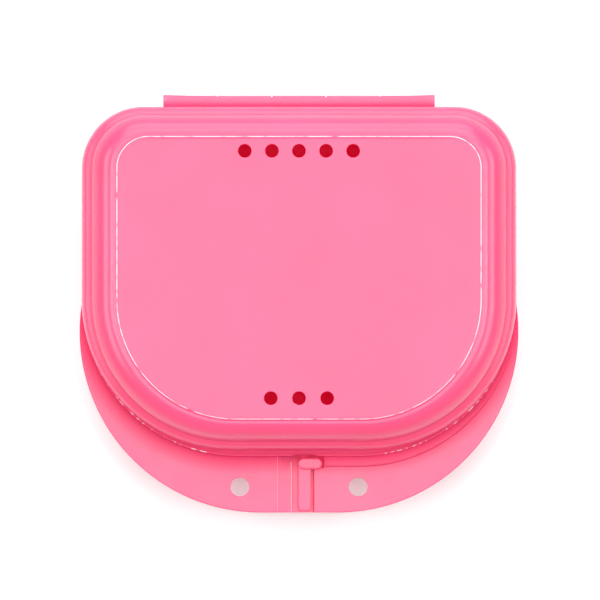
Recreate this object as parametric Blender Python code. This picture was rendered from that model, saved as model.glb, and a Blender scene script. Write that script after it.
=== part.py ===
"""A hinged retainer case, lying on its base with the lid closed.

The base tray has a crescent flange in front with two lanyard holes and a small swinging latch
lever. The lid turns on a steel pin under a full-width hinge leaf at the back. Lengths are in
metres, +Z is up, the back of the case is +Y, and the origin is under the middle of the case.
"""

import math
from collections import namedtuple

import bmesh
import bpy
from mathutils import Matrix

MM = 0.001

# Outline of the lid, seen from above
LID_WIDTH = 81.2 * MM
LID_DEPTH = 64.2 * MM
LID_BACK_RADIUS = 11.6 * MM
LID_FRONT_RADIUS = 28.0 * MM

# Heights of the two halves, and the gap left where solids would touch
BASE_HEIGHT = 12.6 * MM
LID_HEIGHT = 12.1 * MM
SEAM_GAP = 0.3 * MM
FIT_GAP = 0.3 * MM
WALL = 1.5 * MM
FLOOR = 1.6 * MM

# Lid shoulder: how far it runs in from the rim, and the levels of its bead, roll and panel
SHOULDER_SIDE = 6.7 * MM
SHOULDER_END = 5.8 * MM
RIM_ROUND = 0.3 * MM
SKIRT_HEIGHT = 4.8 * MM
BEAD_HEIGHT = 7.0 * MM
ROLL_HEIGHT = 11.5 * MM
SKIRT_SHARE = 0.02
BEAD_SHARE = 0.25
CREASE_SHARE = 0.27
ROLL_SHARE = 0.92
PANEL_STEP_SHARE = 0.97
INNER_ROLL_HEIGHT = 6.4 * MM

# Base tray below its rim
TRAY_FOOT_INSET = 6.2 * MM
TRAY_ROLL_HEIGHT = 6.0 * MM
TRAY_WALL_INSET = 1.5 * MM
TRAY_CAVITY_ROLL = 4.4 * MM
TRAY_CAVITY_FOOT = 4.0 * MM
RIM_BAND_HEIGHT = 2.4 * MM
RIM_BAND_BEVEL = 0.4 * MM
RIM_REACH = 1.15 * MM
RIM_FRONT_RADIUS = 29.2 * MM
LIP_HEIGHT = 1.5 * MM
LIP_WALL = 1.2 * MM
LIP_BEVEL = 0.2 * MM

# Crescent flange at the front of the base, and the raised ledge on its right half
FLANGE_WIDTH = 82.0 * MM
FLANGE_REACH = 11.65 * MM
FLANGE_RADIUS = 33.85 * MM
FLANGE_THICKNESS = 1.8 * MM
FLANGE_DROP = 1.6 * MM
FLANGE_EDGE_ROUND = 0.5 * MM
FLANGE_ROOT = 2.2 * MM
FLANGE_WRAP = math.radians(60)
LEDGE_WIDTH = 81.6 * MM
LEDGE_REACH = 3.05 * MM
LEDGE_RADIUS = 29.5 * MM
LEDGE_LENGTH = 25.6 * MM
LEDGE_HEIGHT = 0.8 * MM
LEDGE_EDGE_ROUND = 0.25 * MM
LANYARD_HOLE_RADIUS = 1.75 * MM
LANYARD_HOLE_SPACING = 22.1 * MM
LANYARD_HOLE_INSET = 4.8 * MM

# Vent holes in the lid panel: a row near the hinge and a row near the front
VENT_RADIUS = 1.25 * MM
BACK_VENT_COUNT = 5
BACK_VENT_PITCH = 5.05 * MM
BACK_VENT_INSET = 2.65 * MM
FRONT_VENT_COUNT = 3
FRONT_VENT_PITCH = 5.25 * MM
FRONT_VENT_INSET = 3.85 * MM

# Hinge: knuckles on one steel pin, under a leaf that belongs to the lid
HINGE_LENGTH = 50.7 * MM
HINGE_REACH = 2.15 * MM
HINGE_AXIS_REACH = 0.45 * MM
KNUCKLE_RADIUS = 1.6 * MM
KNUCKLE_GAP = 0.3 * MM
KNUCKLE_COUNT = 5
PIN_RADIUS = 0.75 * MM
PIN_CLEARANCE = 0.12 * MM
PIN_END_INSET = 0.6 * MM
LEAF_THICKNESS = 0.9 * MM
LEAF_EDGE_ROUND = 0.25 * MM
LEAF_FALL = 0.4 * MM
LEAF_BOW = 0.4 * MM

# Latch lever: a stem that swings on a stud, with a thumb pad and a tongue through the rim
STEM_WIDTH = 2.5 * MM
STEM_CENTRE_X = 1.03 * MM
STEM_THICKNESS = 1.2 * MM
STEM_EDGE_INSET = 0.25 * MM
STEM_EDGE_ROUND = 0.3 * MM
PAD_WIDTH = 4.6 * MM
PAD_DEPTH = 2.25 * MM
PAD_HEIGHT = 1.8 * MM
PAD_LIFT = 0.3 * MM
PAD_CORNER_RADIUS = 1.08 * MM
PAD_EDGE_ROUND = 0.55 * MM
PAD_GAP = 0.2 * MM
TONGUE_WIDTH = 1.6 * MM
TONGUE_THICKNESS = 0.75 * MM
TONGUE_LIFT = 0.1 * MM
TONGUE_LENGTH = 15.5 * MM
STUD_RADIUS = 0.7 * MM
STUD_CLEARANCE = 0.2 * MM
BARB_RADIUS = 1.05 * MM
BARB_HEIGHT = 0.7 * MM
BARB_TIP_RADIUS = 0.6 * MM
LATCH_SWING = math.radians(20)

# Recess, detent rib and wall slot that the lever works in
RECESS_DEPTH = 0.4 * MM
RECESS_LEFT_X = -4.03 * MM
RECESS_SLOPE = 0.45 * MM
DETENT_X = -1.4 * MM
DETENT_WIDTH = 0.5 * MM
DETENT_HEIGHT = 0.18 * MM
SLOT_HEIGHT = 1.5 * MM

# Hook on the lid that the lever's tongue swings into
HOOK_WIDTH = 4.0 * MM
HOOK_RIGHT_X = -3.2 * MM
HOOK_THICKNESS = 1.6 * MM
HOOK_BAR_HEIGHT = 1.0 * MM
HOOK_NOTCH_DEPTH = 2.5 * MM
HOOK_ROOT_HEIGHT = 2.6 * MM

OVERRUN = 1.0 * MM
FRONT_CORNER_STEPS = 22
BACK_CORNER_STEPS = 10
ROLL_STEPS = 7
ROUND_STEPS = 28
SMALL_ROUND_STEPS = 20
SHARP_ANGLE = math.radians(32)
BEVEL_ANGLE = math.radians(50)

# Levels and places that follow from the sizes above
TOTAL_DEPTH = HINGE_REACH + LID_DEPTH + FLANGE_REACH
LID_BACK_Y = TOTAL_DEPTH / 2 - HINGE_REACH
LID_FRONT_Y = LID_BACK_Y - LID_DEPTH
FLANGE_FRONT_Y = LID_FRONT_Y - FLANGE_REACH
RIM_FRONT_Y = LID_FRONT_Y - RIM_REACH
LEDGE_FRONT_Y = LID_FRONT_Y - LEDGE_REACH
LID_BOTTOM_Z = BASE_HEIGHT + SEAM_GAP
LID_TOP_Z = LID_BOTTOM_Z + LID_HEIGHT
FLANGE_TOP_Z = BASE_HEIGHT - FLANGE_DROP
FLANGE_BOTTOM_Z = FLANGE_TOP_Z - FLANGE_THICKNESS
RECESS_Z = FLANGE_TOP_Z - RECESS_DEPTH
LIP_OUTER_INSET = WALL + FIT_GAP
CAVITY_INSET = LIP_OUTER_INSET + LIP_WALL
LIP_TOP_Z = BASE_HEIGHT + LIP_HEIGHT
HINGE_AXIS_Y = LID_BACK_Y + HINGE_AXIS_REACH
HINGE_AXIS_Z = BASE_HEIGHT + SEAM_GAP / 2
HINGE_CLEAR_RADIUS = KNUCKLE_RADIUS + FIT_GAP
LEAF_BOTTOM_Z = HINGE_AXIS_Z + HINGE_CLEAR_RADIUS
PIVOT_Y = FLANGE_FRONT_Y + STEM_EDGE_INSET + STEM_WIDTH / 2
LEVER_Z = RECESS_Z + FIT_GAP
PAD_LEFT_X = STEM_CENTRE_X - STEM_WIDTH / 2
RECESS_RIGHT_X = STEM_CENTRE_X + STEM_WIDTH / 2 + FIT_GAP
PAD_BACK_Y = RIM_FRONT_Y - PAD_GAP
PAD_BOTTOM_Z = FLANGE_TOP_Z + PAD_LIFT
CAVITY_FRONT_Y = LID_FRONT_Y + CAVITY_INSET

PINK = (0.98, 0.225, 0.37, 1.0)
STEEL = (0.62, 0.62, 0.64, 1.0)
SATIN = 0.32
POLISHED = 0.3

Outline = namedtuple("Outline", "half_width back_y front_y back_radius front_radius")
LID_OUTLINE = Outline(LID_WIDTH / 2, LID_BACK_Y, LID_FRONT_Y, LID_BACK_RADIUS, LID_FRONT_RADIUS)
RIM_OUTLINE = Outline(LID_WIDTH / 2, LID_BACK_Y, RIM_FRONT_Y, LID_BACK_RADIUS, RIM_FRONT_RADIUS)
LEDGE_OUTLINE = Outline(LEDGE_WIDTH / 2, LID_BACK_Y, LEDGE_FRONT_Y, LID_BACK_RADIUS, LEDGE_RADIUS)


def clear_scene():
    """Removes whatever the scene holds at the start."""
    for old in list(bpy.data.objects):
        bpy.data.objects.remove(old)


def finish(name, colour, roughness, metallic=0.0):
    """A plain material for one sub-part."""
    material = bpy.data.materials.new(name)
    material.use_nodes = True
    shader = material.node_tree.nodes["Principled BSDF"]
    shader.inputs["Base Color"].default_value = colour
    shader.inputs["Roughness"].default_value = roughness
    shader.inputs["Metallic"].default_value = metallic
    return material


def arc(centre, radius, start, end, steps):
    """Points along an arc from angle start to angle end, in radians."""
    turn = (end - start) / steps
    return [
        (centre[0] + radius * math.cos(start + turn * i), centre[1] + radius * math.sin(start + turn * i))
        for i in range(steps + 1)
    ]


def outline_points(outline, side=0.0, end=0.0):
    """The outline's points anticlockwise, drawn in by side at the sides and by end at front and back."""
    half = outline.half_width - side
    back = outline.back_y - end
    front = outline.front_y + end
    back_radius = outline.back_radius - end
    front_radius = outline.front_radius - end
    quarter = math.pi / 2
    corners = (
        ((half - front_radius, front + front_radius), front_radius, -quarter, FRONT_CORNER_STEPS),
        ((half - back_radius, back - back_radius), back_radius, 0.0, BACK_CORNER_STEPS),
        ((back_radius - half, back - back_radius), back_radius, quarter, BACK_CORNER_STEPS),
        ((front_radius - half, front + front_radius), front_radius, 2 * quarter, FRONT_CORNER_STEPS),
    )
    points = []
    for centre, radius, start, steps in corners:
        points += arc(centre, radius, start, start + quarter, steps)
    return points


def ring(outline, z, side, end=None):
    """One closed loop of a loft, at height z."""
    drawn_in = side if end is None else end
    return [(x, y, z) for x, y in outline_points(outline, side, drawn_in)]


def new_object(name, mesh_builder):
    """An object in the scene from a bmesh, smooth but for its sharp edges."""
    mesh = bpy.data.meshes.new(name)
    mesh_builder.to_mesh(mesh)
    mesh_builder.free()
    mesh.shade_smooth()
    mesh.set_sharp_from_angle(angle=SHARP_ANGLE)
    made = bpy.data.objects.new(name, mesh)
    bpy.context.scene.collection.objects.link(made)
    return made


def loft(name, rings):
    """A closed solid through rings of as many points each, capped at the first and the last."""
    builder = bmesh.new()
    loops = [[builder.verts.new(point) for point in points] for points in rings]
    for lower, upper in zip(loops, loops[1:]):
        count = len(lower)
        for i in range(count):
            following = (i + 1) % count
            builder.faces.new((lower[i], lower[following], upper[following], upper[i]))
    builder.faces.new(list(reversed(loops[0])))
    builder.faces.new(loops[-1])
    return new_object(name, builder)


def prism(name, points, bottom, top):
    """A closed outline in the XY plane, given anticlockwise, raised from bottom to top."""
    return loft(name, [[(x, y, z) for x, y in points] for z in (bottom, top)])


def block(name, low, high):
    """A box between two corners."""
    points = [(low[0], low[1]), (high[0], low[1]), (high[0], high[1]), (low[0], high[1])]
    return prism(name, points, low[2], high[2])


def upright_cylinder(name, centre, radius, bottom, top, steps=ROUND_STEPS):
    """A round prism about a vertical axis."""
    return prism(name, arc(centre, radius, 0.0, 2 * math.pi, steps)[:-1], bottom, top)


def bar_along_y(name, section, front, back):
    """A section in the XZ plane, given anticlockwise as seen from the front, drawn from front to back."""
    return loft(name, [[(x, y, z) for x, z in section] for y in (back, front)])


def cross_cylinder(name, radius, left, right, steps=ROUND_STEPS):
    """A round bar along X about the hinge axis."""
    circle = arc((HINGE_AXIS_Y, HINGE_AXIS_Z), radius, 0.0, 2 * math.pi, steps)[:-1]
    return loft(name, [[(x, y, z) for y, z in circle] for x in (left, right)])


def bevel(target, width, segments=2):
    """Rounds the target's sharp edges."""
    rounding = target.modifiers.new("edge_round", "BEVEL")
    rounding.width = width
    rounding.segments = segments
    rounding.limit_method = "ANGLE"
    rounding.angle_limit = BEVEL_ANGLE


def hang_on_axis(target, name, place):
    """Parents the target to an empty at a place on its joint's axis, and leaves it where it is."""
    axis = bpy.data.objects.new(name, None)
    axis.location = place
    bpy.context.scene.collection.objects.link(axis)
    target.parent = axis
    target.matrix_parent_inverse = Matrix.Translation(place).inverted()


def combine(target, other, operation):
    """Adds other to target or cuts it away, and keeps other as a hidden helper that moves with it."""
    step = target.modifiers.new(other.name, "BOOLEAN")
    step.operation = operation
    step.solver = "EXACT"
    step.object = other
    other.parent = target.parent
    other.matrix_parent_inverse = target.matrix_parent_inverse
    other.hide_render = True
    other.display_type = "WIRE"


def add(target, other):
    combine(target, other, "UNION")


def cut(target, other):
    combine(target, other, "DIFFERENCE")


def quarter_roll(low_share, high_share):
    """Pairs (way in, way up), each from 0 to 1, along a quarter ellipse that starts upright."""
    angles = [math.pi / 2 * i / ROLL_STEPS for i in range(ROLL_STEPS + 1)]
    return [
        (low_share + (high_share - low_share) * (1 - math.cos(angle)), math.sin(angle))
        for angle in angles
    ]


def lid_inner_rings():
    """The inside of the lid, from its ceiling down to the rim."""
    ceiling = LID_HEIGHT - FLOOR
    rings = []
    for share, rise in quarter_roll(CREASE_SHARE, ROLL_SHARE):
        height = INNER_ROLL_HEIGHT + (ceiling - INNER_ROLL_HEIGHT) * rise
        side = WALL + share * SHOULDER_SIDE
        end = WALL + share * SHOULDER_END
        rings.append(ring(LID_OUTLINE, LID_BOTTOM_Z + height, side, end))
    rings.reverse()
    rings.append(ring(LID_OUTLINE, LID_BOTTOM_Z + SKIRT_HEIGHT, WALL))
    rings.append(ring(LID_OUTLINE, LID_BOTTOM_Z, WALL))
    return rings


def lid_outer_rings():
    """The outside of the lid, from the rim up over bead and roll to the panel's edge."""
    stations = [(0.0, RIM_ROUND), (SKIRT_SHARE, SKIRT_HEIGHT)]
    for share, rise in quarter_roll(SKIRT_SHARE, BEAD_SHARE)[1:]:
        stations.append((share, SKIRT_HEIGHT + (BEAD_HEIGHT - SKIRT_HEIGHT) * rise))
    for share, rise in quarter_roll(CREASE_SHARE, ROLL_SHARE):
        stations.append((share, BEAD_HEIGHT + (ROLL_HEIGHT - BEAD_HEIGHT) * rise))
    stations.append((PANEL_STEP_SHARE, LID_HEIGHT - RIM_ROUND / 2))
    stations.append((1.0, LID_HEIGHT))
    rings = [ring(LID_OUTLINE, LID_BOTTOM_Z, RIM_ROUND)]
    for share, height in stations:
        rings.append(ring(LID_OUTLINE, LID_BOTTOM_Z + height, share * SHOULDER_SIDE, share * SHOULDER_END))
    return rings


def vent_centres():
    """The middle of each vent hole in the lid panel."""
    back_y = LID_BACK_Y - SHOULDER_END - BACK_VENT_INSET
    front_y = LID_FRONT_Y + SHOULDER_END + FRONT_VENT_INSET
    rows = (
        (BACK_VENT_COUNT, BACK_VENT_PITCH, back_y),
        (FRONT_VENT_COUNT, FRONT_VENT_PITCH, front_y),
    )
    return [((i - (count - 1) / 2) * pitch, y) for count, pitch, y in rows for i in range(count)]


def knuckle_spans(first):
    """The (left, right) ends of every second knuckle along the hinge, from number first."""
    length = HINGE_LENGTH / KNUCKLE_COUNT
    left = -HINGE_LENGTH / 2
    return [
        (left + length * i + KNUCKLE_GAP / 2, left + length * (i + 1) - KNUCKLE_GAP / 2)
        for i in range(first, KNUCKLE_COUNT, 2)
    ]


def hinge_leaf():
    """The strip that covers the knuckles: its nose is round, its top falls to the lid, its back bows in."""
    nose = LEAF_THICKNESS / 2
    root = LID_BACK_Y - WALL / 2
    quarter = math.pi / 2
    sections = []
    for i in range(BACK_CORNER_STEPS + 1):
        across = 2 * i / BACK_CORNER_STEPS - 1
        nose_y = LID_BACK_Y + HINGE_REACH - LEAF_BOW * (1 - across * across) - nose
        section = [(root, LEAF_BOTTOM_Z)]
        section += arc((nose_y, LEAF_BOTTOM_Z + nose), nose, -quarter, quarter, ROLL_STEPS)
        for j in range(1, ROLL_STEPS + 1):
            share = j / ROLL_STEPS
            fall = LEAF_FALL * share * share
            section.append((nose_y + (root - nose_y) * share, LEAF_BOTTOM_Z + LEAF_THICKNESS - fall))
        sections.append([(across * HINGE_LENGTH / 2, y, z) for y, z in section])
    leaf = loft("leaf_blank", sections)
    bevel(leaf, LEAF_EDGE_ROUND)
    return leaf


def add_lid_hinge(lid):
    """Leaf and knuckles on the lid, with room for the base's knuckles."""
    add(lid, hinge_leaf())
    for number, (left, right) in enumerate(knuckle_spans(1)):
        ends = (left - KNUCKLE_GAP, right + KNUCKLE_GAP)
        cut(lid, cross_cylinder(f"base_knuckle_room_{number}", HINGE_CLEAR_RADIUS, *ends))
    for number, (left, right) in enumerate(knuckle_spans(0)):
        knuckle = cross_cylinder(f"lid_knuckle_{number}", KNUCKLE_RADIUS, left, right)
        add(lid, knuckle)
        neck_low = (left, LID_BACK_Y - WALL / 2, HINGE_AXIS_Z)
        neck_high = (right, HINGE_AXIS_Y + KNUCKLE_RADIUS / 2, LEAF_BOTTOM_Z + LEAF_THICKNESS / 3)
        add(lid, block(f"lid_knuckle_neck_{number}", neck_low, neck_high))
    bore = cross_cylinder("lid_pin_bore", PIN_RADIUS + PIN_CLEARANCE, -HINGE_LENGTH, HINGE_LENGTH)
    cut(lid, bore)


def add_lid_hook(lid):
    """The hook inside the lid's front wall, with a notch open to the right for the lever's tongue."""
    left = HOOK_RIGHT_X - HOOK_WIDTH
    outer = CAVITY_FRONT_Y + FIT_GAP
    inner = outer + HOOK_THICKNESS
    notch_low = RECESS_Z
    notch_high = RECESS_Z + SLOT_HEIGHT
    root_z = LIP_TOP_Z + FIT_GAP
    bottom = notch_low - HOOK_BAR_HEIGHT
    add(lid, block("hook_blade", (left, outer, bottom), (HOOK_RIGHT_X, inner, root_z + HOOK_ROOT_HEIGHT)))
    root_low = (left, LID_FRONT_Y + WALL / 2, root_z)
    add(lid, block("hook_root", root_low, (HOOK_RIGHT_X, inner, root_z + HOOK_ROOT_HEIGHT)))
    cut_low = (HOOK_RIGHT_X - HOOK_NOTCH_DEPTH, outer - OVERRUN, notch_low)
    cut(lid, block("hook_notch", cut_low, (HOOK_RIGHT_X + OVERRUN, inner + OVERRUN, notch_high)))


def build_lid():
    """The lid moulding: a lofted shell with vents, hinge knuckles and latch hook."""
    lid = loft("lid_shell", lid_inner_rings() + lid_outer_rings())
    hang_on_axis(lid, "lid_axis", (0, HINGE_AXIS_Y, HINGE_AXIS_Z))
    low = LID_TOP_Z - FLOOR - OVERRUN
    high = LID_TOP_Z + OVERRUN
    for number, centre in enumerate(vent_centres()):
        cut(lid, upright_cylinder(f"vent_{number}", centre, VENT_RADIUS, low, high, SMALL_ROUND_STEPS))
    add_lid_hinge(lid)
    add_lid_hook(lid)
    lid.data.materials.append(finish("lid_pink", PINK, SATIN))
    return lid


def tray_rings():
    """The base tray, from its foot up the outside, over the rim and the lip, and down to its floor."""
    rings = []
    for share, rise in reversed(quarter_roll(0.0, 1.0)):
        inset = TRAY_WALL_INSET + (TRAY_FOOT_INSET - TRAY_WALL_INSET) * share
        rings.append(ring(LID_OUTLINE, TRAY_ROLL_HEIGHT * (1 - rise), inset))
    band_z = BASE_HEIGHT - RIM_BAND_HEIGHT
    rings.append(ring(LID_OUTLINE, band_z - RIM_BAND_BEVEL, TRAY_WALL_INSET))
    rings.append(ring(RIM_OUTLINE, band_z, RIM_BAND_BEVEL))
    rings.append(ring(RIM_OUTLINE, band_z + RIM_BAND_BEVEL, 0.0))
    rings.append(ring(RIM_OUTLINE, BASE_HEIGHT - RIM_ROUND, 0.0))
    rings.append(ring(RIM_OUTLINE, BASE_HEIGHT - RIM_ROUND / 3, RIM_ROUND / 3))
    rings.append(ring(RIM_OUTLINE, BASE_HEIGHT, RIM_ROUND))
    rings.append(ring(LID_OUTLINE, BASE_HEIGHT, LIP_OUTER_INSET))
    rings.append(ring(LID_OUTLINE, LIP_TOP_Z - LIP_BEVEL, LIP_OUTER_INSET))
    rings.append(ring(LID_OUTLINE, LIP_TOP_Z, LIP_OUTER_INSET + LIP_BEVEL))
    rings.append(ring(LID_OUTLINE, LIP_TOP_Z, CAVITY_INSET - LIP_BEVEL))
    rings.append(ring(LID_OUTLINE, LIP_TOP_Z - LIP_BEVEL, CAVITY_INSET))
    for share, rise in quarter_roll(0.0, 1.0):
        inset = CAVITY_INSET + TRAY_CAVITY_FOOT * share
        rings.append(ring(LID_OUTLINE, FLOOR + TRAY_CAVITY_ROLL * (1 - rise), inset))
    return rings


def tray_core(name, bottom, top):
    """The middle of the tray, which plates around it leave free."""
    return prism(name, outline_points(LID_OUTLINE, FLANGE_ROOT, FLANGE_ROOT), bottom, top)


def flange_blank():
    """The crescent plate round the front: two corner arcs that run on until they are inside the tray."""
    centre_x = FLANGE_WIDTH / 2 - FLANGE_RADIUS
    centre_y = FLANGE_FRONT_Y + FLANGE_RADIUS
    quarter = math.pi / 2
    steps = 2 * FRONT_CORNER_STEPS
    points = arc((centre_x, centre_y), FLANGE_RADIUS, -quarter, FLANGE_WRAP, steps)
    points += arc((-centre_x, centre_y), FLANGE_RADIUS, 2 * quarter - FLANGE_WRAP, 3 * quarter, steps)
    plate = prism("flange_blank", points, FLANGE_BOTTOM_Z, FLANGE_TOP_Z)
    bevel(plate, FLANGE_EDGE_ROUND, 3)
    cut(plate, tray_core("flange_core", FLANGE_BOTTOM_Z - OVERRUN, FLANGE_TOP_Z + OVERRUN))
    return plate


def ledge_blank():
    """The raised ledge that follows the rim on the right of the lever."""
    bottom = FLANGE_BOTTOM_Z + FLANGE_THICKNESS / 2
    top = FLANGE_TOP_Z + LEDGE_HEIGHT
    ledge = prism("ledge_blank", outline_points(LEDGE_OUTLINE), bottom, top)
    bevel(ledge, LEDGE_EDGE_ROUND)
    cut(ledge, tray_core("ledge_core", bottom - OVERRUN, top + OVERRUN))
    stretch_low = (PAD_LEFT_X + PAD_WIDTH + FIT_GAP, LEDGE_FRONT_Y - OVERRUN, bottom - OVERRUN)
    stretch_high = (LEDGE_WIDTH, LEDGE_FRONT_Y + LEDGE_LENGTH, top + OVERRUN)
    combine(ledge, block("ledge_stretch", stretch_low, stretch_high), "INTERSECT")
    return ledge


def pocket_cutter():
    """Room in the rim for the sweep of the lever's thumb pad."""
    corner_x = PAD_LEFT_X + PAD_WIDTH - PAD_CORNER_RADIUS - STEM_CENTRE_X
    corner_y = PAD_BACK_Y - PAD_CORNER_RADIUS - PIVOT_Y
    sweep = math.hypot(corner_x, corner_y) + PAD_CORNER_RADIUS + FIT_GAP
    pivot = (STEM_CENTRE_X, PIVOT_Y)
    cutter = upright_cylinder("pad_pocket", pivot, sweep, RECESS_Z, LIP_TOP_Z, 4 * ROUND_STEPS)
    outside = block(
        "pad_pocket_bounds",
        (RECESS_LEFT_X, RIM_FRONT_Y - OVERRUN / 2, RECESS_Z - OVERRUN),
        (PAD_LEFT_X + PAD_WIDTH + FIT_GAP, RIM_FRONT_Y + OVERRUN, LIP_TOP_Z + OVERRUN),
    )
    combine(cutter, outside, "INTERSECT")
    return cutter


def recess_cutter():
    """The shallow channel in the flange that the stem swings in, with a sloped step on its left."""
    top = FLANGE_TOP_Z + OVERRUN
    section = [
        (RECESS_LEFT_X, FLANGE_TOP_Z),
        (RECESS_LEFT_X + RECESS_SLOPE, RECESS_Z),
        (RECESS_RIGHT_X, RECESS_Z),
        (RECESS_RIGHT_X, top),
        (RECESS_LEFT_X, top),
    ]
    return bar_along_y("latch_recess", section, FLANGE_FRONT_Y - OVERRUN, RIM_FRONT_Y)


def slot_cutter():
    """The slot through the rim, which fans out with the swing of the tongue."""
    half = TONGUE_WIDTH / 2 + FIT_GAP
    front = RIM_FRONT_Y - OVERRUN
    back = CAVITY_FRONT_Y + OVERRUN
    points = [(STEM_CENTRE_X + half, front), (STEM_CENTRE_X + half, back)]
    for y in (back, front):
        swung = (y - PIVOT_Y) * math.tan(LATCH_SWING) + half / math.cos(LATCH_SWING)
        points.append((STEM_CENTRE_X - swung, y))
    return prism("tongue_slot", points, RECESS_Z, RECESS_Z + SLOT_HEIGHT)


def cut_latch_seat(base):
    """Recess, pocket, slot, pivot hole and detent rib for the lever."""
    cut(base, recess_cutter())
    cut(base, pocket_cutter())
    cut(base, slot_cutter())
    low = FLANGE_BOTTOM_Z - OVERRUN
    high = FLANGE_TOP_Z + OVERRUN
    pivot = (STEM_CENTRE_X, PIVOT_Y)
    hole_radius = STUD_RADIUS + STUD_CLEARANCE
    cut(base, upright_cylinder("pivot_hole", pivot, hole_radius, low, high, SMALL_ROUND_STEPS))
    rib_low = (DETENT_X - DETENT_WIDTH / 2, FLANGE_FRONT_Y + FLANGE_EDGE_ROUND, RECESS_Z - DETENT_HEIGHT)
    rib_high = (DETENT_X + DETENT_WIDTH / 2, RIM_FRONT_Y - PAD_DEPTH / 2, RECESS_Z + DETENT_HEIGHT)
    add(base, block("detent_rib", rib_low, rib_high))


def add_base_hinge(base):
    """Knuckles on the base, with room for the lid's knuckles, and the pin's bore."""
    for number, (left, right) in enumerate(knuckle_spans(0)):
        ends = (left - KNUCKLE_GAP, right + KNUCKLE_GAP)
        cut(base, cross_cylinder(f"lid_knuckle_room_{number}", HINGE_CLEAR_RADIUS, *ends))
    for number, (left, right) in enumerate(knuckle_spans(1)):
        add(base, cross_cylinder(f"base_knuckle_{number}", KNUCKLE_RADIUS, left, right))
    cut(base, cross_cylinder("base_pin_bore", PIN_RADIUS + PIN_CLEARANCE, -HINGE_LENGTH, HINGE_LENGTH))


def build_base():
    """The base moulding: tray, crescent flange, ledge, lanyard holes, latch seat and knuckles."""
    base = loft("base_tray", tray_rings())
    add(base, flange_blank())
    add(base, ledge_blank())
    low = FLANGE_BOTTOM_Z - OVERRUN
    high = FLANGE_TOP_Z + OVERRUN
    for number, side in enumerate((-1, 1)):
        centre = (side * LANYARD_HOLE_SPACING / 2, FLANGE_FRONT_Y + LANYARD_HOLE_INSET)
        cut(base, upright_cylinder(f"lanyard_hole_{number}", centre, LANYARD_HOLE_RADIUS, low, high))
    cut_latch_seat(base)
    add_base_hinge(base)
    base.data.materials.append(finish("base_pink", PINK, SATIN))
    return base


def build_pin():
    """The steel pin through all knuckles."""
    half = HINGE_LENGTH / 2 - PIN_END_INSET
    pin = cross_cylinder("hinge_pin", PIN_RADIUS, -half, half)
    pin.data.materials.append(finish("pin_steel", STEEL, POLISHED, 1.0))
    return pin


def rounded_rectangle(low, high, radius):
    """A rectangle's outline with round corners, anticlockwise."""
    quarter = math.pi / 2
    steps = SMALL_ROUND_STEPS // 4
    corners = (
        ((high[0] - radius, low[1] + radius), -quarter),
        ((high[0] - radius, high[1] - radius), 0.0),
        ((low[0] + radius, high[1] - radius), quarter),
        ((low[0] + radius, low[1] + radius), 2 * quarter),
    )
    points = []
    for centre, start in corners:
        points += arc(centre, radius, start, start + quarter, steps)
    return points


def build_lever():
    """The latch lever: stem with a round end over its stud, thumb pad, and tongue."""
    half = STEM_WIDTH / 2
    end = arc((STEM_CENTRE_X, PIVOT_Y), half, math.pi, 2 * math.pi, SMALL_ROUND_STEPS)
    stem_back = PAD_BACK_Y - PAD_DEPTH / 4
    points = end + [(STEM_CENTRE_X + half, stem_back), (STEM_CENTRE_X - half, stem_back)]
    lever = prism("latch_lever", points, LEVER_Z, LEVER_Z + STEM_THICKNESS)
    hang_on_axis(lever, "lever_axis", (STEM_CENTRE_X, PIVOT_Y, LEVER_Z))
    bevel(lever, STEM_EDGE_ROUND)
    pad_low = (PAD_LEFT_X, PAD_BACK_Y - PAD_DEPTH)
    pad_high = (PAD_LEFT_X + PAD_WIDTH, PAD_BACK_Y)
    pad = prism(
        "thumb_pad",
        rounded_rectangle(pad_low, pad_high, PAD_CORNER_RADIUS),
        PAD_BOTTOM_Z,
        PAD_BOTTOM_Z + PAD_HEIGHT,
    )
    bevel(pad, PAD_EDGE_ROUND, 3)
    add(lever, pad)
    tongue_z = LEVER_Z + TONGUE_LIFT
    tongue_low = (STEM_CENTRE_X - TONGUE_WIDTH / 2, PAD_BACK_Y - PAD_DEPTH, tongue_z)
    tongue_high = (STEM_CENTRE_X + TONGUE_WIDTH / 2, PIVOT_Y + TONGUE_LENGTH, tongue_z + TONGUE_THICKNESS)
    add(lever, block("tongue", tongue_low, tongue_high))
    pivot = (STEM_CENTRE_X, PIVOT_Y)
    barb_top = FLANGE_BOTTOM_Z - FIT_GAP
    stud_low = barb_top - BARB_HEIGHT / 2
    stud_top = LEVER_Z + STEM_THICKNESS / 2
    add(lever, upright_cylinder("stud", pivot, STUD_RADIUS, stud_low, stud_top, SMALL_ROUND_STEPS))
    circles = []
    for radius, z in ((BARB_TIP_RADIUS, barb_top - BARB_HEIGHT), (BARB_RADIUS, barb_top)):
        circle = arc(pivot, radius, 0.0, 2 * math.pi, SMALL_ROUND_STEPS)[:-1]
        circles.append([(x, y, z) for x, y in circle])
    add(lever, loft("barb", circles))
    lever.data.materials.append(finish("lever_pink", PINK, SATIN))
    return lever


def main():
    clear_scene()
    build_base()
    build_lid()
    build_pin()
    build_lever()


main()
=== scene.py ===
"""Looks of the hinged retainer case.

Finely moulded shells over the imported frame, their plastic and steel, the light and the camera.
"""

import math
from collections import namedtuple

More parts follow.
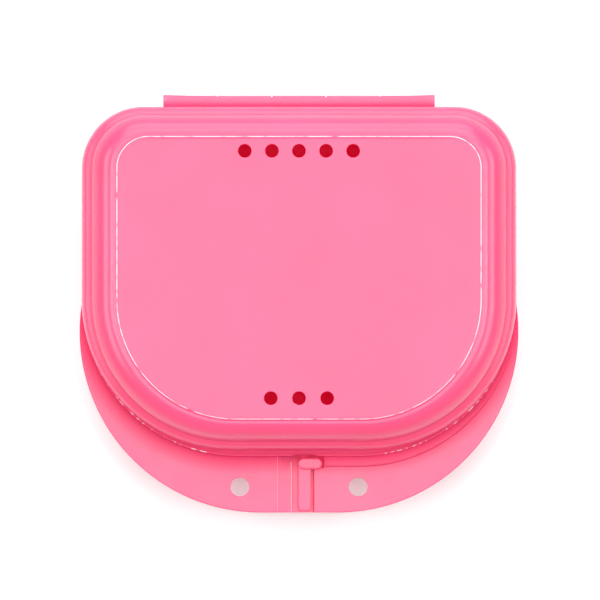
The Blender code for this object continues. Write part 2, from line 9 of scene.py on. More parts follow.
import bmesh
import bpy
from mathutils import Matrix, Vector


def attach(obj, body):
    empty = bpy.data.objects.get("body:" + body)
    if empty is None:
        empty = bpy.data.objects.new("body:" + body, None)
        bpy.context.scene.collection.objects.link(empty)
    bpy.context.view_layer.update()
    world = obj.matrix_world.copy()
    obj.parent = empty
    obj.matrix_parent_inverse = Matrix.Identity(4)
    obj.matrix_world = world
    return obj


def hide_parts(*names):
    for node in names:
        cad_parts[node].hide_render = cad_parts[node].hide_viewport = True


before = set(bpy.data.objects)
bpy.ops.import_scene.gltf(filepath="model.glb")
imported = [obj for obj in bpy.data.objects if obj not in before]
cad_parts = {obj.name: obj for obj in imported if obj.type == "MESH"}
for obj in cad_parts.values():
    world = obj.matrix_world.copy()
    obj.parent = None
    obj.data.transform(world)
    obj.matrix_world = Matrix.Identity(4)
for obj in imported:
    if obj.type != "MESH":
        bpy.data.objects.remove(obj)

MM = 0.001
QUARTER = math.pi / 2
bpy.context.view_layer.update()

# Outlines, as the frame has them
LID_WIDTH = 81.2 * MM
LID_BACK_Y = 36.85 * MM
LID_FRONT_Y = -27.35 * MM
LID_BACK_RADIUS = 11.6 * MM
LID_FRONT_RADIUS = 28.0 * MM
RIM_FRONT_Y = -28.5 * MM
RIM_FRONT_RADIUS = 29.2 * MM
LEDGE_WIDTH = 81.6 * MM
LEDGE_FRONT_Y = -30.4 * MM
LEDGE_RADIUS = 29.5 * MM
LEDGE_LENGTH = 25.6 * MM
FLANGE_WIDTH = 82.0 * MM
FLANGE_FRONT_Y = -39.0 * MM
FLANGE_RADIUS = 33.85 * MM
FLANGE_WRAP = math.radians(60)

# Levels
BASE_HEIGHT = 12.6 * MM
LID_BOTTOM_Z = 12.9 * MM
LID_HEIGHT = 12.1 * MM
LID_TOP_Z = LID_BOTTOM_Z + LID_HEIGHT
FLANGE_TOP_Z = 11.0 * MM
FLANGE_BOTTOM_Z = 9.2 * MM
LEDGE_TOP_Z = 11.8 * MM
RECESS_Z = 10.6 * MM
LIP_TOP_Z = 14.1 * MM

# Walls and fits
WALL = 1.5 * MM
FLOOR = 1.6 * MM
FIT_GAP = 0.3 * MM
FLANGE_ROOT = 2.2 * MM
LIP_OUTER_INSET = 1.8 * MM
CAVITY_INSET = 3.0 * MM
OVERRUN = 1.0 * MM

# Lid shoulder
SHOULDER_SIDE = 6.7 * MM
SHOULDER_END = 5.8 * MM
RIM_ROUND = 0.3 * MM
SKIRT_HEIGHT = 4.8 * MM
BEAD_HEIGHT = 7.0 * MM
ROLL_HEIGHT = 11.95 * MM
INNER_ROLL_HEIGHT = 6.4 * MM
SKIRT_SHARE = 0.02
BEAD_SHARE = 0.25
CREASE_SHARE = 0.27
ROLL_SHARE = 0.90
INNER_ROLL_SHARE = 0.92
GROOVE_SHARE = 0.93
STEP_SHARE = 0.95
LINE_SHARES = (0.982, 0.994, 1.006)
GROOVE_HEIGHT = 11.92 * MM
STEP_HEIGHT = 11.98 * MM
LINE_HEIGHTS = (12.04 * MM, 12.08 * MM, 12.1 * MM)
BORDER_SIDE = 1.7 * MM
BORDER_END = 0.5 * MM
BORDER_DIP = 0.06 * MM
BORDER_SHARES = (0.1, 0.5, 0.9, 1.0)

# Tray
TRAY_WALL_INSET = 1.5 * MM
TRAY_FOOT_INSET = 6.2 * MM
TRAY_ROLL_HEIGHT = 6.0 * MM
TRAY_CAVITY_ROLL = 4.4 * MM
TRAY_CAVITY_FOOT = 4.0 * MM
RIM_BAND_HEIGHT = 2.4 * MM
RIM_BAND_BEVEL = 0.4 * MM
LIP_BEVEL = 0.2 * MM

# Flange details
FLANGE_EDGE_ROUND = 0.18 * MM
LEDGE_EDGE_ROUND = 0.3 * MM
LANYARD_HOLE_RADIUS = 1.75 * MM
LANYARD_HOLE_X = 11.05 * MM
LANYARD_HOLE_Y = -34.2 * MM
HOLE_EASE = 0.12 * MM

# Vents
VENT_RADIUS = 1.25 * MM
BACK_VENT_Y = 28.4 * MM
BACK_VENT_PITCH = 5.05 * MM
BACK_VENT_COUNT = 5
FRONT_VENT_Y = -17.7 * MM
FRONT_VENT_PITCH = 5.25 * MM
FRONT_VENT_COUNT = 3

# Hinge
HINGE_LENGTH = 50.7 * MM
HINGE_AXIS_Y = 37.3 * MM
HINGE_AXIS_Z = 12.75 * MM
LEAF_BACK_Y = 39.0 * MM
LEAF_BOTTOM_Z = 14.65 * MM
LEAF_THICKNESS = 0.9 * MM
LEAF_EDGE_ROUND = 0.25 * MM
LEAF_FALL = 0.4 * MM
LEAF_BOW = 0.4 * MM
KNUCKLE_RADIUS = 1.6 * MM
KNUCKLE_CLEAR_RADIUS = 1.9 * MM
KNUCKLE_GAP = 0.3 * MM
KNUCKLE_COUNT = 5
PIN_RADIUS = 0.75 * MM
PIN_BORE_RADIUS = 0.87 * MM
PIN_HALF_LENGTH = 24.75 * MM

# Latch lever and the seat that it swings in
STEM_WIDTH = 2.5 * MM
STEM_CENTRE_X = 1.03 * MM
STEM_THICKNESS = 1.2 * MM
STEM_EDGE_ROUND = 0.3 * MM
STEM_CORNER_RADIUS = 0.85 * MM
PIVOT_Y = -37.5 * MM
LEVER_Z = 10.9 * MM
PAD_LEFT_X = -0.22 * MM
PAD_WIDTH = 4.6 * MM
PAD_BACK_Y = -28.7 * MM
PAD_DEPTH = 2.25 * MM
PAD_BOTTOM_Z = 11.3 * MM
PAD_HEIGHT = 1.8 * MM
PAD_CORNER_RADIUS = 1.1 * MM
PAD_EDGE_ROUND = 0.4 * MM
TONGUE_WIDTH = 1.6 * MM
TONGUE_LENGTH = 15.5 * MM
TONGUE_LOW_Z = 11.0 * MM
TONGUE_HIGH_Z = 11.75 * MM
STUD_RADIUS = 0.7 * MM
STUD_HOLE_RADIUS = 0.9 * MM
BARB_TOP_Z = 8.9 * MM
BARB_HEIGHT = 0.7 * MM
BARB_RADIUS = 1.05 * MM
BARB_TIP_RADIUS = 0.6 * MM
LATCH_SWING = math.radians(20)
RECESS_LEFT_X = -4.03 * MM
RECESS_RIGHT_X = 2.58 * MM
RECESS_SLOPE = 2.3 * MM
RECESS_EDGE_ROUND = 0.3 * MM
RECESS_FOOT_ROUND = 0.9 * MM
RECESS_EASE = 0.25 * MM
DETENT_X = -1.4 * MM
DETENT_WIDTH = 0.5 * MM
DETENT_HEIGHT = 0.18 * MM
DETENT_END_SHARE = 0.1
# Size of the thin slip beside the pad that carries painted shade
GAP_DEPTH_SHARE = 0.9
GAP_WIDTH_SHARE = 1.1
SLOT_HEIGHT = 1.5 * MM

# Hook inside the lid
HOOK_LEFT_X = -7.2 * MM
HOOK_RIGHT_X = -3.2 * MM
HOOK_OUTER_Y = -24.05 * MM
HOOK_INNER_Y = -22.45 * MM
HOOK_BOTTOM_Z = 9.6 * MM
HOOK_ROOT_Z = 14.4 * MM
HOOK_TOP_Z = 17.0 * MM
HOOK_NOTCH_DEPTH = 2.5 * MM

# Fineness
FRONT_STEPS = 56
BACK_STEPS = 28
ROLL_STEPS = 18
BEAD_CUT = 5
ROUND_STEPS = 64
BEVEL_STEPS = 4
SHARP_ANGLE = math.radians(34)
BEVEL_ANGLE = math.radians(50)
LARGE_FACE_WEIGHT = 100

# Which of a piece's materials its faces take, and how far a face looks up, from 1 for level to 0 for a wall
MAIN_SLOT = 0
HIGHLIGHT_LINE_SLOT = 1
INSIDE_SHADE_SLOT = 2
EDGE_HIGHLIGHT_SLOT = 3
TONGUE_SHADE_SLOT = 1
STEEP_UP = 0.5
SLOPE_UP = 0.7
NEARLY_LEVEL_UP = 0.9999

# Linear colours
PINK = (0.96, 0.060, 0.184)
PINK_PALE = (0.965, 0.066, 0.204)
# A paler pink: painted light that makes the flange and thumb pad read brighter
PINK_PAINTED_BRIGHT = (0.965, 0.090, 0.225)
# Painted shade: the deeper pink round the lid's foot
PINK_PAINTED_SHADE = (0.89, 0.042, 0.165)
# Painted shade: the deeper red inside the case
PINK_INSIDE_SHADE = (0.88, 0.018, 0.100)
# Painted highlights: the pale lines along the panel, the rim and the lever's seat
HIGHLIGHT_WHITE = (0.98, 0.70, 0.78)
EDGE_HIGHLIGHT_PALE = (0.97, 0.34, 0.46)
STEEL = (0.60, 0.60, 0.62)
PAPER = (0.85, 0.85, 0.85)

# Depth of the plastic: how far light goes into it, per colour, and the painted red glow inside, which stands
# in for the light that its walls let through
GLOW_SHARE = 0.1
GLOW_RADII = (1.0, 0.3, 0.4)
GLOW_DEPTH = 1.0 * MM
PAINTED_INSIDE_GLOW = (0.115, 0.0, 0.010)

# Gloss; SHINE_INSIDE and SHINE_SHADE are lowered as part of the painted shade inside and round the lid's
# foot
PLASTIC_IOR = 1.49
SHINE = 0.75
SHINE_INSIDE = 0.1
SHINE_SHADE = 0.02
PLASTIC_ROUGHNESS = (0.24, 0.26)
LINE_ROUGHNESS = (0.3, 0.4)
STEEL_ROUGHNESS = (0.22, 0.34)
STEEL_TINT_SHARE = 0.9

# Noise: cycles per metre and detail, and the spans of its value that colours and roughness run over
CLOUD_NOISE = (70.0, 3.0)
GRAIN_NOISE = (900.0, 4.0)
DRAWN_NOISE = (2500.0, 2.0)
TINT_NOISE = (400.0, 2.0)
DASH_DETAIL = 1.0
MIDDLE_SPAN = (0.35, 0.65)
WIDE_SPAN = (0.3, 0.7)

# Painted highlight lines: cycles per metre, the noise below which the line is whole pink, and the fade from
# there
PANEL_DASHES = (520.0, 0.28, 0.22)
RIM_DASHES = (1100.0, 0.53, 0.10)
EDGE_DASHES = (300.0, 0.15, 0.05)
RIM_DASH_START = 15.5 * MM
RIM_DASH_BACK_Y = -12.0 * MM

# The painted shade, a deeper pink round the lid's foot: its middle, in from the rim's outline, and its fade
# to either side
SHADE_MIDDLE = 0.1 * MM
SHADE_START = -0.2 * MM
SHADE_END = 3.6 * MM

# Sockets of a colour mix: its share, its two colours and its result
MIX_SHARE = 0
MIX_FIRST = 6
MIX_SECOND = 7
MIX_RESULT = 2

# Studio
FLOOR_HALF_SIZE = 3.0
FLOOR_LIFT = 0.30
FILL_STRENGTH = 0.30

# Soft boxes: name, where from as degrees from straight up towards +X and towards +Y, size, brightness
LIGHT_DISTANCE = 1.2
LIGHTS = (
    ("top_light", 0.0, 6.0, (0.9, 0.75), 1.75),
    ("back_upper", 0.0, 33.0, (1.0, 0.40), 3.2),
    ("back_side", 0.0, 64.0, (1.2, 0.75), 2.4),
    ("left_streak", -12.0, 0.0, (0.12, 0.20), 10.0),
    ("right_streak", 12.0, 0.0, (0.12, 0.20), 10.0),
    ("left_side", -46.0, 0.0, (0.95, 0.50), 3.1),
    ("right_side", 46.0, 0.0, (0.95, 0.50), 3.1),
)

# Camera, from the photograph's frame of 600 by 600 pixels
PHOTO_WIDTH_PX = 600
MM_PER_PX = 0.1868 * MM
CENTRE_PX = (300, 300)
CASE_ZERO_PX = (299.0, 303.8)
CAMERA_ELEVATION = math.radians(89.5)
CAMERA_DISTANCE = 5.0
SENSOR = 36.0

Outline = namedtuple("Outline", "half_width back_y front_y back_radius front_radius")
LID_OUTLINE = Outline(LID_WIDTH / 2, LID_BACK_Y, LID_FRONT_Y, LID_BACK_RADIUS, LID_FRONT_RADIUS)
RIM_OUTLINE = Outline(LID_WIDTH / 2, LID_BACK_Y, RIM_FRONT_Y, LID_BACK_RADIUS, RIM_FRONT_RADIUS)
LEDGE_OUTLINE = Outline(LEDGE_WIDTH / 2, LID_BACK_Y, LEDGE_FRONT_Y, LID_BACK_RADIUS, LEDGE_RADIUS)


def arc(centre, radius, start, end, steps):
    """Points along an arc from angle start to angle end."""
    turn = (end - start) / steps
    return [
        (centre[0] + radius * math.cos(start + turn * i), centre[1] + radius * math.sin(start + turn * i))
        for i in range(steps + 1)
    ]


def outline_points(outline, side=0.0, end=0.0):
    """The outline's points anticlockwise, drawn in by side at the sides and by end at front and back."""
    half = outline.half_width - side
    back = outline.back_y - end
    front = outline.front_y + end
    back_radius = outline.back_radius - end
    front_radius = outline.front_radius - end
    corners = (
        ((half - front_radius, front + front_radius), front_radius, -QUARTER, FRONT_STEPS),
        ((half - back_radius, back - back_radius), back_radius, 0.0, BACK_STEPS),
        ((back_radius - half, back - back_radius), back_radius, QUARTER, BACK_STEPS),
        ((front_radius - half, front + front_radius), front_radius, 2 * QUARTER, FRONT_STEPS),
    )
    points = []
    for centre, radius, start, steps in corners:
        points += arc(centre, radius, start, start + QUARTER, steps)
    return points


def ring(outline, z, side, end=None):
    """One closed loop of a loft, at height z."""
    drawn_in = side if end is None else end
    return [(x, y, z) for x, y in outline_points(outline, side, drawn_in)]


def new_object(name, mesh_builder):
    mesh = bpy.data.meshes.new(name)
    mesh_builder.to_mesh(mesh)
    mesh_builder.free()
    made = bpy.data.objects.new(name, mesh)
    bpy.context.scene.collection.objects.link(made)
    return made


def loft(name, rings, marked=(), inside=(), inside_cap=None):
    """A closed solid through rings of as many points each.

    Strips in marked get the painted highlight line's material and strips in inside get the inside's,
    which carries painted shade and a painted glow. So does one cap: the first where inside_cap is 0, the
    last where it is 1.
    """
    slots = dict.fromkeys(inside, INSIDE_SHADE_SLOT) | dict.fromkeys(marked, HIGHLIGHT_LINE_SLOT)
    builder = bmesh.new()
    loops = [[builder.verts.new(point) for point in points] for points in rings]
    for number, (lower, upper) in enumerate(zip(loops, loops[1:])):
        count = len(lower)
        for i in range(count):
            following = (i + 1) % count
            face = builder.faces.new((lower[i], lower[following], upper[following], upper[i]))
            face.material_index = slots.get(number, MAIN_SLOT)
    for cap, points in enumerate((list(reversed(loops[0])), loops[-1])):
        builder.faces.new(points).material_index = INSIDE_SHADE_SLOT if cap == inside_cap else MAIN_SLOT
    return new_object(name, builder)


def prism(name, points, bottom, top):
    return loft(name, [[(x, y, z) for x, y in points] for z in (bottom, top)])


def block(name, low, high):
    points = [(low[0], low[1]), (high[0], low[1]), (high[0], high[1]), (low[0], high[1])]
    return prism(name, points, low[2], high[2])


def turned(name, centre, stations, steps=ROUND_STEPS):
    """A solid of revolution about an upright axis, from (radius, height) pairs, lowest first."""
    rings = []
    for radius, z in stations:
        rings.append([(x, y, z) for x, y in arc(centre, radius, 0.0, 4 * QUARTER, steps)[:-1]])
    return loft(name, rings)


def bar_along_y(name, section, front, back):
    return loft(name, [[(x, y, z) for x, z in section] for y in (back, front)])


def cross_cylinder(name, radius, left, right):
    circle = arc((HINGE_AXIS_Y, HINGE_AXIS_Z), radius, 0.0, 4 * QUARTER, ROUND_STEPS)[:-1]
    return loft(name, [[(x, y, z) for y, z in circle] for x in (left, right)])


def bevel(target, width, segments=BEVEL_STEPS):
    rounding = target.modifiers.new("edge_round", "BEVEL")
    rounding.width = width
    rounding.segments = segments
    rounding.limit_method = "ANGLE"
    rounding.angle_limit = BEVEL_ANGLE


helpers = []


def combine(target, other, operation):
    step = target.modifiers.new(other.name, "BOOLEAN")
    step.operation = operation
    step.solver = "EXACT"
    step.object = other
    other.hide_render = True
    helpers.append(other)


def add(target, other):
    combine(target, other, "UNION")


def cut(target, other):
    combine(target, other, "DIFFERENCE")


def bake_modifiers(target):
    graph = bpy.context.evaluated_depsgraph_get()
    mesh = bpy.data.meshes.new_from_object(target.evaluated_get(graph))
    target.modifiers.clear()
    target.data = mesh


def settle(target, *materials):
    """Applies the target's modifiers, smooths all but its sharp edges, and removes the helpers."""
    for material in materials:
        target.data.materials.append(material)
    bake_modifiers(target)
    target.data.shade_smooth()
    target.data.set_sharp_from_angle(angle=SHARP_ANGLE)
    flats = target.modifiers.new("flat_faces", "WEIGHTED_NORMAL")
    flats.weight = LARGE_FACE_WEIGHT
    flats.keep_sharp = True
    bake_modifiers(target)
    target.data.name = target.name
    for helper in helpers:
        bpy.data.objects.remove(helper)
    helpers.clear()
    return target


def paint(target, slot, low, high, least_up=-1.0, most_up=1.0):
    """Gives the faces in a box, that look up by so much, another of the piece's materials."""
    for face in target.data.polygons:
        inside = all(low[i] <= face.center[i] <= high[i] for i in range(3))
        if inside and least_up <= face.normal[2] <= most_up:
            face.material_index = slot


def quarter_roll(low_share, high_share):
    """Shares across and up along a quarter of a crowned edge."""
    angles = [QUARTER * i / ROLL_STEPS for i in range(ROLL_STEPS + 1)]
    return [
        (low_share + (high_share - low_share) * (1 - math.cos(angle)), math.sin(angle))
        for angle in angles
    ]


def lid_inner_rings():
    """Rings down the inside, from the ceiling's edge to the open bottom."""
    ceiling = LID_HEIGHT - FLOOR
    rings = []
    for share, rise in quarter_roll(CREASE_SHARE, INNER_ROLL_SHARE):
        height = INNER_ROLL_HEIGHT + (ceiling - INNER_ROLL_HEIGHT) * rise
        side = WALL + share * SHOULDER_SIDE
        end = WALL + share * SHOULDER_END
        rings.append(ring(LID_OUTLINE, LID_BOTTOM_Z + height, side, end))
    rings.reverse()
    rings.append(ring(LID_OUTLINE, LID_BOTTOM_Z + SKIRT_HEIGHT, WALL))
    rings.append(ring(LID_OUTLINE, LID_BOTTOM_Z, WALL))
    return rings


def lid_outer_rings():
    """Rings up the outside, and the numbers of the strips that take the painted highlight line round the
    panel.
    """
    rings = []
    for angle in [QUARTER * i / BEVEL_STEPS for i in range(BEVEL_STEPS + 1)]:
        inset = RIM_ROUND * (1 - math.sin(angle))
        rings.append(ring(LID_OUTLINE, LID_BOTTOM_Z + RIM_ROUND * (1 - math.cos(angle)), inset))
    stations = [(SKIRT_SHARE, SKIRT_HEIGHT)]
    for share, rise in quarter_roll(SKIRT_SHARE, BEAD_SHARE)[1:-BEAD_CUT]:
        stations.append((share, SKIRT_HEIGHT + (BEAD_HEIGHT - SKIRT_HEIGHT) * rise))
    for share, rise in quarter_roll(CREASE_SHARE, ROLL_SHARE):
        stations.append((share, BEAD_HEIGHT + (ROLL_HEIGHT - BEAD_HEIGHT) * rise))
    stations += [(GROOVE_SHARE, GROOVE_HEIGHT), (STEP_SHARE, STEP_HEIGHT)]
    stations += zip(LINE_SHARES, LINE_HEIGHTS)
    for share, height in stations:
        rings.append(ring(LID_OUTLINE, LID_BOTTOM_Z + height, share * SHOULDER_SIDE, share * SHOULDER_END))
    highlight_strips = (len(rings) - 3, len(rings) - 2)
    for part in BORDER_SHARES:
        dip = BORDER_DIP * (1 - math.cos(2 * QUARTER * part)) / 2
        side = SHOULDER_SIDE + BORDER_SIDE * part
        end = SHOULDER_END + BORDER_END * part
        rings.append(ring(LID_OUTLINE, LID_TOP_Z - dip, side, end))
    return rings, highlight_strips


def vent_centres():
    rows = (
        (BACK_VENT_COUNT, BACK_VENT_PITCH, BACK_VENT_Y),
        (FRONT_VENT_COUNT, FRONT_VENT_PITCH, FRONT_VENT_Y),
    )
    return [((i - (count - 1) / 2) * pitch, y) for count, pitch, y in rows for i in range(count)]


def knuckle_spans(first):
    length = HINGE_LENGTH / KNUCKLE_COUNT
    left = -HINGE_LENGTH / 2
    return [
        (left + length * i + KNUCKLE_GAP / 2, left + length * (i + 1) - KNUCKLE_GAP / 2)
        for i in range(first, KNUCKLE_COUNT, 2)
    ]


def hinge_leaf():
    """The strip that covers the knuckles: its nose is round, its top falls to the lid, its back bows in."""
    nose = LEAF_THICKNESS / 2
    root = LID_BACK_Y - WALL / 2
    sections = []
    for i in range(BACK_STEPS + 1):
        across = 2 * i / BACK_STEPS - 1
        nose_y = LEAF_BACK_Y - LEAF_BOW * (1 - across * across) - nose
        section = [(root, LEAF_BOTTOM_Z)]
        section += arc((nose_y, LEAF_BOTTOM_Z + nose), nose, -QUARTER, QUARTER, ROLL_STEPS)
        for j in range(1, ROLL_STEPS + 1):
            share = j / ROLL_STEPS
            fall = LEAF_FALL * share * share
            section.append((nose_y + (root - nose_y) * share, LEAF_BOTTOM_Z + LEAF_THICKNESS - fall))
        sections.append([(across * HINGE_LENGTH / 2, y, z) for y, z in section])
    leaf = loft("leaf_blank", sections)
    bevel(leaf, LEAF_EDGE_ROUND)
    return leaf


def eased_hole(name, centre, radius, top):
    """A round cutter that widens a little where it comes out at the top."""
    ease = [
        (radius + HOLE_EASE * (1 - math.cos(angle)), top - HOLE_EASE * (1 - math.sin(angle)))
        for angle in [QUARTER * i / BEVEL_STEPS for i in range(BEVEL_STEPS + 1)]
    ]
    stations = [(radius, top - FLOOR - 2 * OVERRUN)] + ease + [(radius + HOLE_EASE, top + OVERRUN)]
    return turned(name, centre, stations)


def make_lid(*materials):
    """The upper moulding, with its vents, hinge leaf, three knuckles and latch hook."""
    inner = lid_inner_rings()
    outer, strips = lid_outer_rings()
    highlight_strips = [number + len(inner) for number in strips]
    # The lid's inner strips and ceiling take the inside's painted shade and glow
    lid = loft("lid_moulding", inner + outer, highlight_strips, range(len(inner)), 0)
    for number, centre in enumerate(vent_centres()):
        cut(lid, eased_hole(f"vent_{number}", centre, VENT_RADIUS, LID_TOP_Z - BORDER_DIP))
    add(lid, hinge_leaf())
    for number, (left, right) in enumerate(knuckle_spans(1)):
        ends = (left - KNUCKLE_GAP, right + KNUCKLE_GAP)
        cut(lid, cross_cylinder(f"base_knuckle_room_{number}", KNUCKLE_CLEAR_RADIUS, *ends))
    for number, (left, right) in enumerate(knuckle_spans(0)):
        add(lid, cross_cylinder(f"lid_knuckle_{number}", KNUCKLE_RADIUS, left, right))
        neck_low = (left, LID_BACK_Y - WALL / 2, HINGE_AXIS_Z)
        neck_high = (right, HINGE_AXIS_Y + KNUCKLE_RADIUS / 2, LEAF_BOTTOM_Z + LEAF_THICKNESS / 3)
        add(lid, block(f"lid_knuckle_neck_{number}", neck_low, neck_high))
    cut(lid, cross_cylinder("lid_pin_bore", PIN_BORE_RADIUS, -HINGE_LENGTH, HINGE_LENGTH))
    blade_low = (HOOK_LEFT_X, HOOK_OUTER_Y, HOOK_BOTTOM_Z)
    add(lid, block("hook_blade", blade_low, (HOOK_RIGHT_X, HOOK_INNER_Y, HOOK_TOP_Z)))
    root_low = (HOOK_LEFT_X, LID_FRONT_Y + WALL / 2, HOOK_ROOT_Z)
    add(lid, block("hook_root", root_low, (HOOK_RIGHT_X, HOOK_INNER_Y, HOOK_TOP_Z)))
    notch_low = (HOOK_RIGHT_X - HOOK_NOTCH_DEPTH, HOOK_OUTER_Y - OVERRUN, RECESS_Z)
    notch_high = (HOOK_RIGHT_X + OVERRUN, HOOK_INNER_Y + OVERRUN, RECESS_Z + SLOT_HEIGHT)
    cut(lid, block("hook_notch", notch_low, notch_high))
    return settle(lid, *materials)


def tray_rings():
    """Rings of the tray, and the numbers of the strips along the rim's outer edge that take a painted
    highlight line.
    """
    rings = []
    for share, rise in reversed(quarter_roll(0.0, 1.0)):
        inset = TRAY_WALL_INSET + (TRAY_FOOT_INSET - TRAY_WALL_INSET) * share
        rings.append(ring(LID_OUTLINE, TRAY_ROLL_HEIGHT * (1 - rise), inset))
    band_z = BASE_HEIGHT - RIM_BAND_HEIGHT
    rings.append(ring(LID_OUTLINE, band_z - RIM_BAND_BEVEL, TRAY_WALL_INSET))
    rings.append(ring(RIM_OUTLINE, band_z, RIM_BAND_BEVEL))
    rings.append(ring(RIM_OUTLINE, band_z + RIM_BAND_BEVEL, 0.0))
    first = len(rings)
    for angle in [QUARTER * i / BEVEL_STEPS for i in range(BEVEL_STEPS + 1)]:
        inset = RIM_ROUND * (1 - math.cos(angle))
        rings.append(ring(RIM_OUTLINE, BASE_HEIGHT - RIM_ROUND * (1 - math.sin(angle)), inset))
    # These strips take the painted highlight line on the rim's edge
    rim_highlight_strips = (first + 2, first + 3)
    rings.append(ring(LID_OUTLINE, BASE_HEIGHT, LIP_OUTER_INSET))
    rings.append(ring(LID_OUTLINE, LIP_TOP_Z - LIP_BEVEL, LIP_OUTER_INSET))
    rings.append(ring(LID_OUTLINE, LIP_TOP_Z, LIP_OUTER_INSET + LIP_BEVEL))
    rings.append(ring(LID_OUTLINE, LIP_TOP_Z, CAVITY_INSET - LIP_BEVEL))
    rings.append(ring(LID_OUTLINE, LIP_TOP_Z - LIP_BEVEL, CAVITY_INSET))
    for share, rise in quarter_roll(0.0, 1.0):
        inset = CAVITY_INSET + TRAY_CAVITY_FOOT * share
        rings.append(ring(LID_OUTLINE, FLOOR + TRAY_CAVITY_ROLL * (1 - rise), inset))
    return rings, rim_highlight_strips


def tray_core(name, bottom, top):
    return prism(name, outline_points(LID_OUTLINE, FLANGE_ROOT, FLANGE_ROOT), bottom, top)


def flange_blank():
    """The crescent plate round the front, cut away where the tray stands."""
    centre_x = FLANGE_WIDTH / 2 - FLANGE_RADIUS
    centre_y = FLANGE_FRONT_Y + FLANGE_RADIUS
    steps = 2 * FRONT_STEPS
    points = arc((centre_x, centre_y), FLANGE_RADIUS, -QUARTER, FLANGE_WRAP, steps)
    points += arc((-centre_x, centre_y), FLANGE_RADIUS, 2 * QUARTER - FLANGE_WRAP, 3 * QUARTER, steps)
    plate = prism("flange_blank", points, FLANGE_BOTTOM_Z, FLANGE_TOP_Z)
    bevel(plate, FLANGE_EDGE_ROUND)
    cut(plate, tray_core("flange_core", FLANGE_BOTTOM_Z - OVERRUN, FLANGE_TOP_Z + OVERRUN))
    return plate


def ledge_blank():
    """The raised step on the flange, from the thumb pad round to the right."""
    bottom = (FLANGE_BOTTOM_Z + FLANGE_TOP_Z) / 2
    ledge = prism("ledge_blank", outline_points(LEDGE_OUTLINE), bottom, LEDGE_TOP_Z)
    bevel(ledge, LEDGE_EDGE_ROUND)
    cut(ledge, tray_core("ledge_core", bottom - OVERRUN, LEDGE_TOP_Z + OVERRUN))
    stretch_low = (PAD_LEFT_X + PAD_WIDTH + FIT_GAP, LEDGE_FRONT_Y - OVERRUN, bottom - OVERRUN)
    stretch_high = (LEDGE_WIDTH, LEDGE_FRONT_Y + LEDGE_LENGTH, LEDGE_TOP_Z + OVERRUN)
    combine(ledge, block("ledge_stretch", stretch_low, stretch_high), "INTERSECT")
    return ledge


def pocket_cutter():
    """The room that the pad sweeps under the rim: a disc about the pivot, kept to the pad's side."""
    corner_x = PAD_LEFT_X + PAD_WIDTH - PAD_CORNER_RADIUS - STEM_CENTRE_X
    corner_y = PAD_BACK_Y - PAD_CORNER_RADIUS - PIVOT_Y
    sweep = math.hypot(corner_x, corner_y) + PAD_CORNER_RADIUS + FIT_GAP
    stations = [(sweep, RECESS_Z), (sweep, LIP_TOP_Z)]
    cutter = turned("pad_pocket", (STEM_CENTRE_X, PIVOT_Y), stations, 4 * ROUND_STEPS)
    bounds = block(
        "pad_pocket_bounds",
        (RECESS_LEFT_X, RIM_FRONT_Y - OVERRUN / 2, RECESS_Z - OVERRUN),
        (PAD_LEFT_X + PAD_WIDTH + FIT_GAP, RIM_FRONT_Y + OVERRUN, LIP_TOP_Z + OVERRUN),
    )
    combine(cutter, bounds, "INTERSECT")
    return cutter


def recess_cutter():
    """The recess that the stem swings in: it slopes down from the left and has an upright right side."""
    top = FLANGE_TOP_Z + OVERRUN
    tilt = math.atan2(FLANGE_TOP_Z - RECESS_Z, RECESS_SLOPE)
    edge_reach = RECESS_EDGE_ROUND * math.tan(tilt / 2)
    foot_reach = RECESS_FOOT_ROUND * math.tan(tilt / 2)
    edge_centre = (RECESS_LEFT_X - edge_reach, FLANGE_TOP_Z - RECESS_EDGE_ROUND)
    foot_centre = (RECESS_LEFT_X + RECESS_SLOPE + foot_reach, RECESS_Z + RECESS_FOOT_ROUND)
    section = arc(edge_centre, RECESS_EDGE_ROUND, QUARTER, QUARTER - tilt, ROLL_STEPS)
    section += arc(foot_centre, RECESS_FOOT_ROUND, 3 * QUARTER - tilt, 3 * QUARTER, ROLL_STEPS)
    section += [
        (RECESS_RIGHT_X, RECESS_Z),
        (RECESS_RIGHT_X, FLANGE_TOP_Z - RECESS_EASE),
        (RECESS_RIGHT_X + RECESS_EASE, FLANGE_TOP_Z),
        (RECESS_RIGHT_X + RECESS_EASE, top),
        (edge_centre[0], top),
    ]
    return bar_along_y("latch_recess", section, FLANGE_FRONT_Y - OVERRUN, RIM_FRONT_Y)


def detent_rib():
    """The low round rib that holds the lever open; it runs out towards the front."""
    stations = ((RIM_FRONT_Y - PAD_DEPTH / 2, 1.0), (FLANGE_FRONT_Y + FLANGE_EDGE_ROUND, DETENT_END_SHARE))
    sections = []
    for y, share in stations:
        top = arc((DETENT_X, 0.0), DETENT_WIDTH / 2, 0.0, 2 * QUARTER, ROLL_STEPS)
        rise = share * DETENT_HEIGHT / (DETENT_WIDTH / 2)
        section = [(x, RECESS_Z + rise * height) for x, height in top]
        section += [(section[-1][0], RECESS_Z - DETENT_HEIGHT), (section[0][0], RECESS_Z - DETENT_HEIGHT)]
        sections.append([(x, y, z) for x, z in section])
    return loft("detent_rib", sections)


def slot_cutter():
    """The slot for the tongue through the tray's front wall, flared to the left for its swing."""
    half = TONGUE_WIDTH / 2 + FIT_GAP
    front = RIM_FRONT_Y - OVERRUN
    back = LID_FRONT_Y + CAVITY_INSET + OVERRUN
    points = [(STEM_CENTRE_X + half, front), (STEM_CENTRE_X + half, back)]
    for y in (back, front):
        swung = (y - PIVOT_Y) * math.tan(LATCH_SWING) + half / math.cos(LATCH_SWING)
        points.append((STEM_CENTRE_X - swung, y))
    return prism("tongue_slot", points, RECESS_Z, RECESS_Z + SLOT_HEIGHT)


